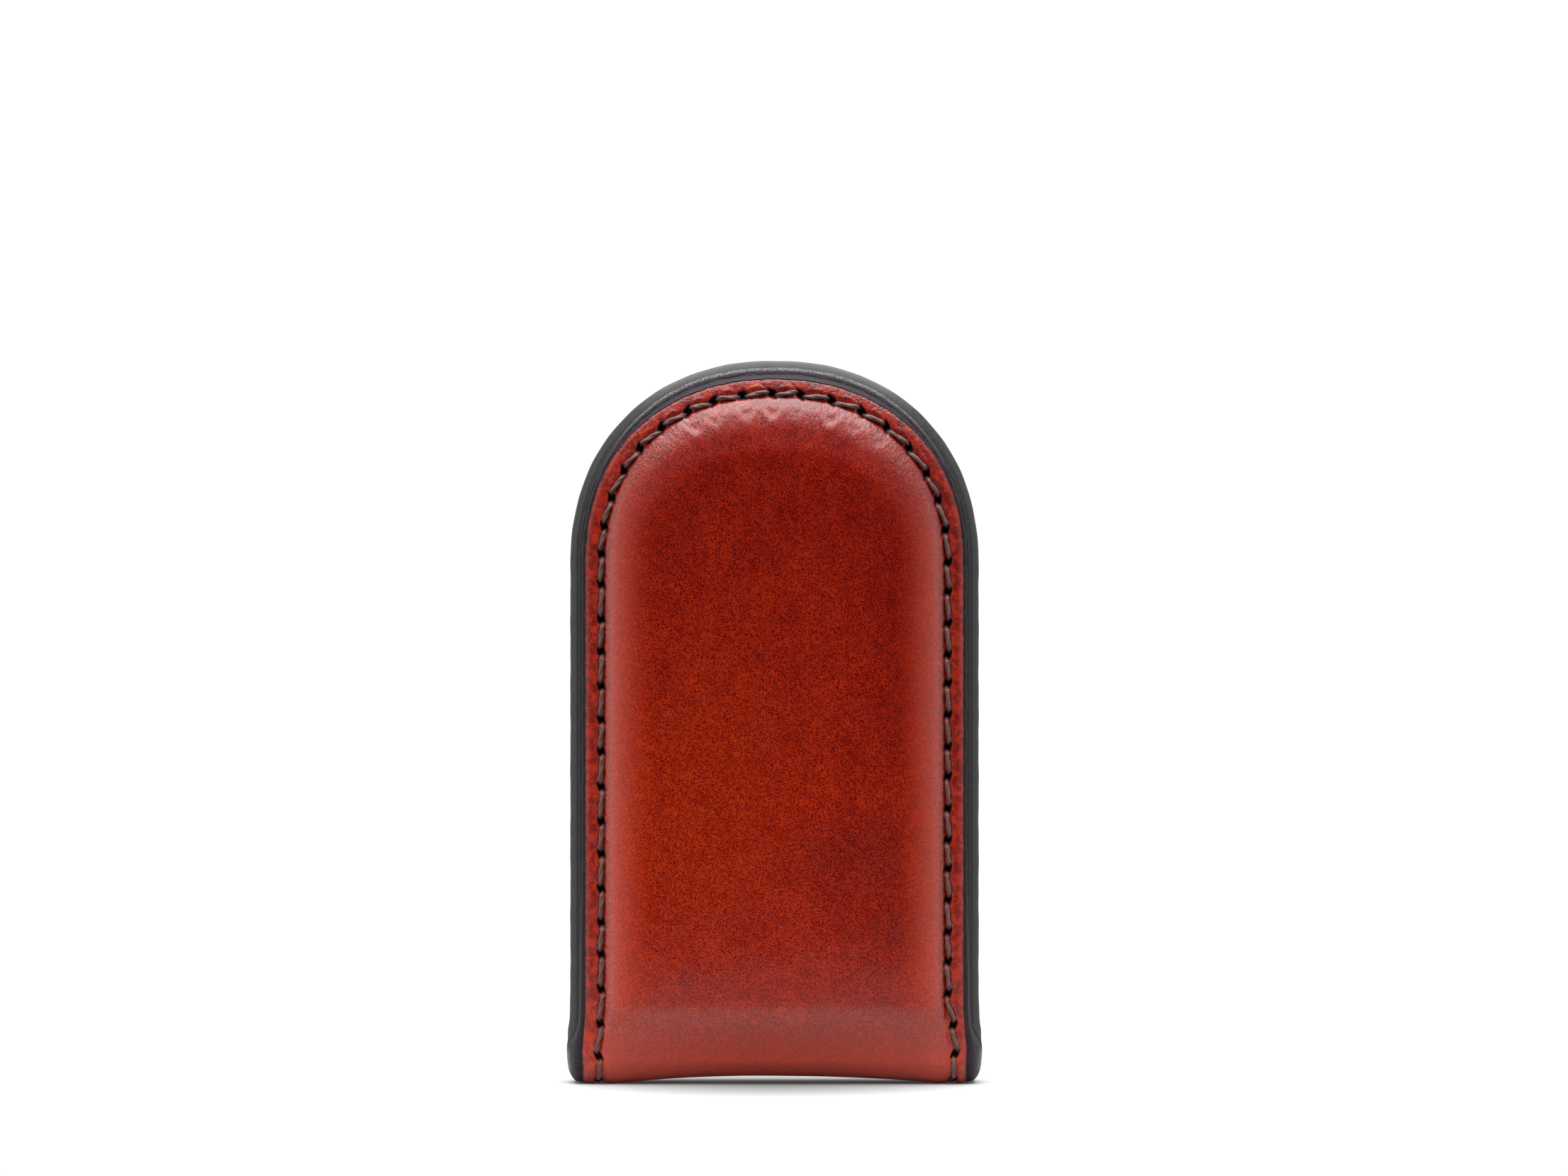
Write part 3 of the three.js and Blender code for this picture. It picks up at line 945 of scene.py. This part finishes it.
def leather_look():
    look = Look("polished_leather", Coat_Weight=0.22, Coat_Roughness=0.3, Coat_IOR=1.45, IOR=1.48)
    flat = look.place("strap")
    spot = look.slanted(flat)
    along = look.parts(flat)[1]
    seam = look.parts(look.place("seam"))
    out = seam[1]
    hole = look.ramp(seam[2], 0.15, 0.45)
    island, line = dye(look, flat, spot, along)
    lines, islands = grain(look, spot, 0.3)
    fine = look.noise(spot, 8.0, 3.0, 0.6)
    shade = look.ramp(fine, 0.3, 0.7, 0.75, 1.2, "LINEAR")
    patchy = look.ramp(look.noise(spot, 1.0, 2.0), 0.3, 0.65, 0.75, 1.0)
    colour = look.mix(look.times(lines, patchy), island, line)
    colour = look.mix(1.0, colour, shade, "MULTIPLY")
    colour = stretch_and_painted_light(look, colour, out, along)
    colour = mottle_stain_and_painted_shade(look, colour, spot, out, along, hole)
    rough = look.ramp(look.noise(spot, 0.5, 3.0), 0.3, 0.7, 0.19, 0.25, "LINEAR")
    duller = look.larger(look.ramp(out, -3.8, -1.6), look.ramp(along, 14.0, 8.0))
    rough = look.plus(rough, look.times(duller, 0.1))
    rough = look.plus(rough, look.times(hole, 0.5))
    pores = look.bump(look.minus(islands, look.times(fine, 0.35)), 0.004)
    normal = look.bump(crinkles(look, out, along), 0.085, pores)
    look.feed(Base_Color=colour, Roughness=rough, Normal=normal)
    return look.material


def lining_look():
    look = Look("lining_leather", IOR=1.45, Specular_IOR_Level=0.4)
    spot = look.slanted(look.place("strap"))
    pit = look.parts(look.place("seam"))[2]
    cloud = look.noise(spot, 0.3, 3.0)
    colour = look.mix(look.ramp(cloud, 0.2, 0.8), rgb(58, 35, 26), rgb(72, 43, 32))
    lines, islands = grain(look, spot, 0.45)
    colour = look.mix(look.times(lines, 0.4), colour, rgb(34, 20, 16))
    hole = look.ramp(pit, 0.18, 0.5)
    # painted shade: the needle holes are darkened nearly to black
    colour = look.mix(hole, colour, rgb(10, 6, 6))
    fine = look.noise(spot, 8.0, 3.0)
    rough = look.ramp(fine, 0.3, 0.7, 0.5, 0.68, "LINEAR")
    height = look.plus(islands, look.times(fine, 0.3))
    look.feed(Base_Color=colour, Roughness=rough, Normal=look.bump(height, 0.02))
    return look.material


def satin_paint(name, specular, grit_scale, shades, roughness):
    """Starts an edge paint: (its look, its place along the edge, its speckle, its colour, its roughness)"""
    look = Look(name, IOR=1.5, Specular_IOR_Level=specular)
    where = look.place("seam")
    grit = look.noise(where, grit_scale, 3.0, 0.65)
    colour = look.mix(look.ramp(grit, 0.35, 0.7), *shades)
    rough = look.ramp(grit, 0.3, 0.7, *roughness, "LINEAR")
    return look, where, grit, colour, rough


def slow_drift(look, where):
    """Slow waves that run along the edge"""
    return look.noise(look.scaled(where, (0.4, 1.0, 1.0)), 1.0, 2.0)


def rim_paint_look():
    """The front leaf's edge paint: speckled, plum beside the leather, with pale specks over the arch that are
    a painted highlight on the crest, and broken creases that run along it. The plum strip beside the leather
    and the creases are darkened with painted shade."""
    shades = rgb(27, 20, 25), rgb(45, 38, 43)
    look, where, grit, colour, rough = satin_paint("edge_paint_thin", 0.22, 7.0, shades, (0.42, 0.62))
    seam = look.parts(where)
    q, reach = seam[0], seam[1]
    crest = look.ramp(reach, 0.7, 0.9)
    colour = look.mix(crest, colour, rgb(27, 27, 28))
    rough = look.ramp(crest, 0.0, 1.0, rough, 0.32, "LINEAR")
    grit = look.times(grit, look.ramp(crest, 0.0, 1.0, 1.0, 0.25, "LINEAR"))
    off_top = look.math("ABSOLUTE", look.minus(q, HALF_PATH))
    wider = look.ramp(off_top, 16.0, 30.0, 0.0, 0.35)
    # plum tint beside the leather, which is also a painted shade that darkens the strip there
    plum = look.ramp(look.minus(reach, wider), 0.3, -0.05)
    colour = look.mix(look.times(plum, 0.8), colour, rgb(28, 16, 25))
    # painted highlight: pale specks on the front bead's crest over the arch, where it catches the light
    painted_crest_glint = look.times(look.ramp(reach, 0.22, 0.42), look.ramp(reach, 1.0, 0.75))
    painted_crest_glint = look.times(painted_crest_glint, look.ramp(off_top, 30.0, 14.0, 0.15, 1.0))
    painted_crest_glint = look.times(painted_crest_glint, look.ramp(grit, 0.42, 0.64))
    colour = look.mix(look.times(painted_crest_glint, 0.7), colour, rgb(122, 121, 124))
    drift = look.times(look.minus(slow_drift(look, where), 0.5), 0.5)
    off_crease = look.math("ABSOLUTE", look.minus(reach, drift))
    broken = look.ramp(look.noise(look.scaled(where, (0.6, 0.0, 0.0)), 1.0, 2.0), 0.42, 0.55)
    crease = look.times(look.ramp(off_crease, 0.07, 0.0), broken)
    # painted shade: the broken creases are darkened nearly to black
    colour = look.mix(look.times(crease, 0.6), colour, rgb(10, 8, 10))
    height = look.minus(grit, look.times(crease, 1.1))
    look.feed(Base_Color=colour, Roughness=rough, Normal=look.bump(height, 0.06))
    return look.material


def bead_paint_look():
    """The back leaf's edge paint: black, satin and smooth"""
    shades = rgb(40, 40, 41), rgb(48, 48, 49)
    look, where, grit, colour, rough = satin_paint("edge_paint_thick", 0.26, 3.0, shades, (0.28, 0.36))
    height = look.plus(look.times(grit, 0.3), slow_drift(look, where))
    look.feed(Base_Color=colour, Roughness=rough, Normal=look.bump(height, 0.02))
    return look.material


def thread_look():
    look = Look("twisted_thread", IOR=1.5, Sheen_Weight=0.15, Sheen_Roughness=0.4)
    where = look.place("seam")
    fibres = look.noise(look.scaled(where, (1.4, 5.0, 3.0)), 1.0, 3.0, 0.6)
    slow = look.noise(look.scaled(where, (0.5, 0.0, 4.0)), 1.0, 2.0)
    colour = look.mix(look.ramp(fibres, 0.35, 0.68), rgb(54, 28, 25), rgb(108, 69, 62))
    colour = look.mix(look.ramp(slow, 0.45, 0.7, 0.0, 0.35), colour, rgb(98, 72, 73))
    rough = look.ramp(fibres, 0.3, 0.7, 0.38, 0.55, "LINEAR")
    look.feed(Base_Color=colour, Roughness=rough, Normal=look.bump(fibres, 0.03))
    return look.material


def hidden_look(name, low, high, scale, roughness, bump, metallic=0.0, stretch=(1.0, 1.0, 1.0)):
    """A material for what is sealed inside, by the object's own places"""
    look = Look(name, Metallic=metallic)
    coords = look.add("ShaderNodeTexCoord", out="Object")
    where = look.scaled(coords, tuple(s / MM for s in stretch))
    grit = look.noise(where, scale, 4.0, 0.6)
    cells = {"Vector": where, "Scale": scale * 0.8, "Randomness": 1.0}
    spots = look.add("ShaderNodeTexVoronoi", cells, out="Distance", feature="DISTANCE_TO_EDGE")
    colour = look.mix(look.ramp(grit, 0.35, 0.65), low, high)
    height = look.plus(grit, look.times(spots, 0.5))
    rough = look.ramp(grit, 0.3, 0.7, roughness - 0.08, roughness + 0.08, "LINEAR")
    look.feed(Base_Color=colour, Roughness=rough, Normal=look.bump(height, bump))
    return look.material


# The clip

leather = leather_look()
lining = lining_look()
rim_paint = rim_paint_look()
bead_paint = bead_paint_look()
thread = thread_look()
foam = hidden_look("foam", rgb(196, 190, 176), rgb(226, 222, 210), 2.4, 0.9, 0.06)
board_fibre = hidden_look("board_fibre", rgb(112, 82, 54), rgb(158, 124, 84), 1.8, 0.85, 0.05)
nickel = hidden_look(
    "nickel_plate", rgb(168, 170, 172), rgb(196, 197, 198), 3.0, 0.3, 0.006, 1.0, (0.2, 1.0, 1.0)
)


def bend(thing):
    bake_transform(thing)


def stand_for(thing, leaf, kind, both_sides):
    """Hides the CAD nodes that a bent piece replaces and bakes its transform. The fold's nodes are hidden by
    both leaves' pieces.
    """
    over = [f"fold_{kind}_left", f"fold_{kind}_right"] if both_sides else [f"fold_{kind}"]
    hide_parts(f"{leaf}_{kind}", *over)
    bend(thing)


for leaf in LEAVES:
    stand_for(outer_skin(leaf, leather), leaf, "outer_leather", False)
    stand_for(lining_skin(leaf, lining), leaf, "lining", False)
    section, paint = (front_section, rim_paint) if leaf == "front" else (back_section, bead_paint)
    stand_for(edge_coat(leaf, section, paint), leaf, "edge_paint", True)
    needle = stitching(f"{leaf}_needle_stitches", leaf, OUTER, 1, thread)
    stand_for(needle, leaf, "needle_thread", True)
    bobbin = stitching(f"{leaf}_bobbin_stitches", leaf, INNER, -1, thread)
    stand_for(bobbin, leaf, "bobbin_thread", True)
    pad = foam_pad(leaf, foam)
    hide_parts(f"{leaf}_foam_pad")
    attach(pad, f"{leaf}_leaf")
    inside = {"filler_board": board_fibre, "magnet_lower": nickel, "magnet_upper": nickel}
    for kind, look in inside.items():
        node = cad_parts[f"{leaf}_{kind}"]
        node.data.materials.clear()
        node.data.materials.append(look)

# Floor, light and camera

WHITE = (1, 1, 1, 1)
FLOOR_RADIUS = 0.08
FLOOR_FADES_FROM = 0.026
FLOOR_TONES = ((0.45, 0.45, 0.45, 1), (0.47, 0.47, 0.47, 1))
SHADOW_TONE = (0.05, 0.05, 0.05, 1)
SEEN_WHITE = 1.05


def floor_look():
    """A pale floor with a painted contact shadow round the front of where the clip stands on it, that fades
    into the white surround away from it
    """
    glow = {"Emission_Color": WHITE, "Emission_Strength": 0.03}
    look = Look("studio_floor", Roughness=0.8, Specular_IOR_Level=0.0, **glow)
    where = look.add("ShaderNodeTexCoord", out="Object")
    patchy = look.ramp(look.noise(where, 30.0, 2.0), 0.3, 0.7)
    tone = look.mix(patchy, *FLOOR_TONES)
    off_clip = look.length(look.scaled(look.moved(where, (0.0, 0.002, 0.0)), (0.56, 1.0, 0.0)))
    # painted shadow: a soft dark patch on the floor round the front of the clip's foot
    shadow = look.ramp(off_clip, 0.0145, 0.0, 0.0, 0.62)
    shadow = look.times(shadow, look.ramp(look.parts(where)[1], 0.003, -0.0015))
    tone = look.mix(shadow, tone, SHADOW_TONE)
    look.feed(Base_Color=tone, Alpha=look.ramp(look.length(where), FLOOR_RADIUS, FLOOR_FADES_FROM))
    return look.material


def make_floor(sides=96):
    turns = [2 * math.pi * i / sides for i in range(sides)]
    radius = FLOOR_RADIUS / MM
    points = [(radius * math.cos(a), radius * math.sin(a), 0) for a in turns]
    floor = make_object("floor", points, [list(range(sides))], floor_look(), smooth_shade=False)


def aim(thing, target):
    """Turns a light to face a point"""
    away = np.array(thing.location) - np.array(target)
    tilt = math.atan2(math.hypot(away[0], away[1]), away[2])
    thing.rotation_euler = (tilt, 0, math.atan2(away[1], away[0]) + math.pi / 2)


def softbox(name, location, size, radiance, target=(0, 0, 0.034)):
    lamp = bpy.data.lights.new(name, "AREA")
    lamp.shape = "RECTANGLE"
    lamp.size, lamp.size_y = size
    lamp.energy = radiance * math.pi * size[0] * size[1]
    thing = bpy.data.objects.new(name, lamp)
    bpy.context.scene.collection.objects.link(thing)
    thing.location = location
    thing.visible_camera = False
    aim(thing, target)


def make_world():
    """A surround that the camera sees as white. It lights the clip from behind and from the sides, and is
    dark in front, so the front isn't washed out."""
    world = bpy.data.worlds.new("studio")
    bpy.context.scene.world = world
    world.use_nodes = True
    nodes = Nodes(world.node_tree)
    x, y, z = nodes.parts(nodes.add("ShaderNodeTexCoord", out="Generated"))
    seen = nodes.add("ShaderNodeLightPath", out="Is Camera Ray")
    behind = nodes.times(nodes.ramp(y, -0.2, 0.5), nodes.ramp(z, 0.0, 0.6, 0.12, 1.0))
    left = nodes.ramp(x, -0.03, -1.0, 0.0, 0.92)
    right = nodes.ramp(x, 0.03, 1.0, 0.0, 0.9)
    lit = nodes.larger(nodes.larger(left, right), behind)
    strength = nodes.add("ShaderNodeMix", {0: seen, 2: lit, 3: SEEN_WHITE}, data_type="FLOAT")
    ground = world.node_tree.nodes["Background"]
    nodes.join(strength, ground.inputs["Strength"])
    nodes.join(WHITE, ground.inputs["Color"])


make_floor()
make_world()
softbox("top_box", (0, -0.13, 0.5), (0.6, 0.7), 7.6, (0, -0.13, 0))
softbox("left_box", (-0.46, -0.14, 0.14), (0.2, 0.5), 1.3)
softbox("right_box", (0.46, -0.14, 0.14), (0.2, 0.5), 0.8)

CAMERA_PLACE = (0.00089, -0.4072, 0.0462)
camera_data = bpy.data.cameras.new("camera")
camera_data.lens = 100
camera_data.sensor_width = 36
camera_data.clip_start = 0.01
camera = bpy.data.objects.new("camera", camera_data)
camera.location = CAMERA_PLACE
camera.rotation_euler = (math.pi / 2, 0, 0)
bpy.context.scene.collection.objects.link(camera)
bpy.context.scene.camera = camera
bpy.context.scene.view_settings.view_transform = "Standard"
bpy.context.scene.view_settings.look = "None"
